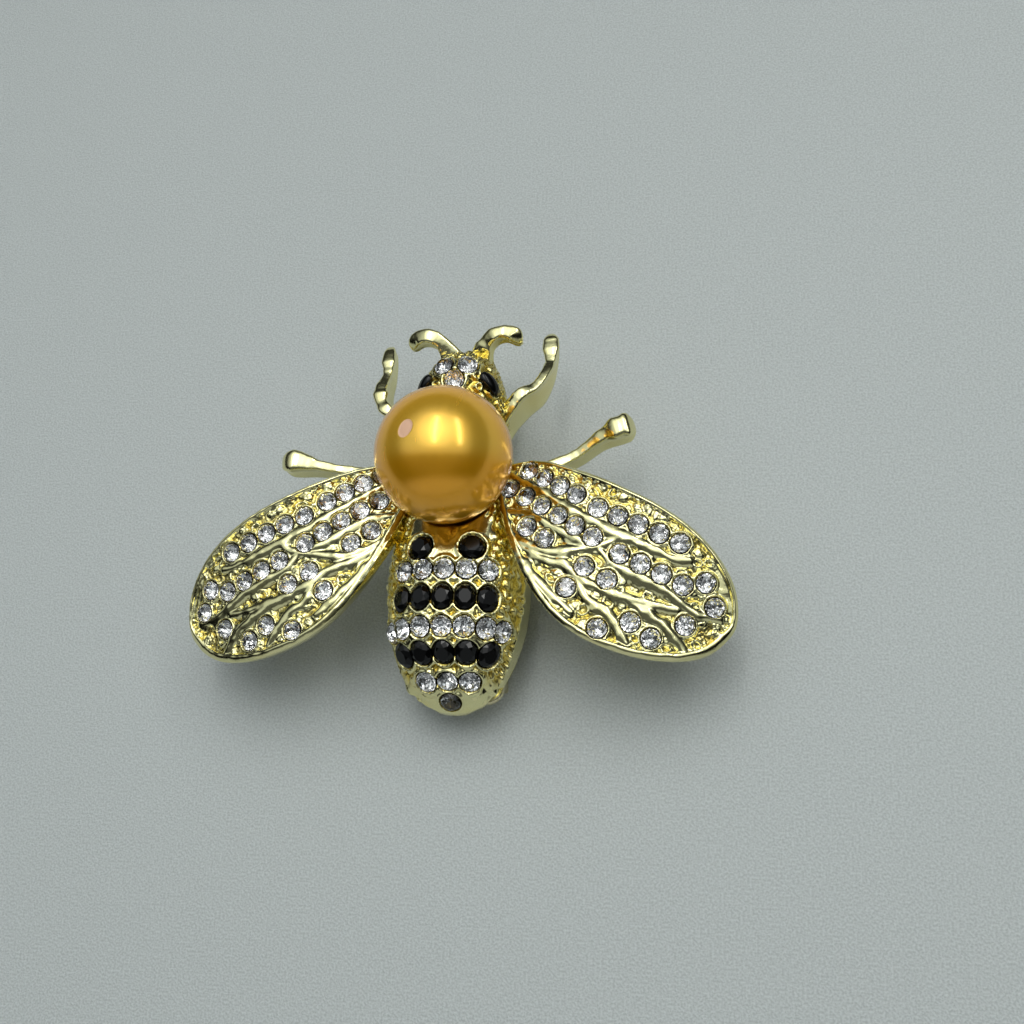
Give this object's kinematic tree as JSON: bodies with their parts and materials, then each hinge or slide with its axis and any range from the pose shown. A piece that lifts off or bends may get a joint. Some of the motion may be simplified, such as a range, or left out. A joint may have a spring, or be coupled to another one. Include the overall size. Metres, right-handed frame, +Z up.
{
  "type": "bee brooch with a pearl body and stone-set wings",
  "caption": "Gold-coloured bee brooch with a large golden pearl, clear and black set stones and a plain pin back.",
  "frame": {"origin": "on the surface that the brooch lies on, below the middle of its width and length", "axes": "+Z up out of the wearer's cloth, +Y the way the bee's head points, +X to the bee's right wing as seen from above with the head up"},
  "size_m": [0.0494, 0.0357, 0.0195],
  "materials": {
    "gold_plate": "polished pale gold plate",
    "golden_pearl": "satin pearl lacquer",
    "clear_stone": "cut and foil backed",
    "black_stone": "cut, opaque black",
    "black_enamel": "glossy dome",
    "pin_metal": "satin gold plate"
  },
  "bodies": {
    "root": {"casting": "gold_plate", "pearl": "golden_pearl", "left_wing_stones": "clear_stone", "right_wing_stones": "clear_stone", "abdomen_clear_stones": "clear_stone", "abdomen_black_stones": "black_stone", "head_stones": "clear_stone", "eyes": "black_enamel", "pin_back": "pin_metal"}
  },
  "joints": []
}
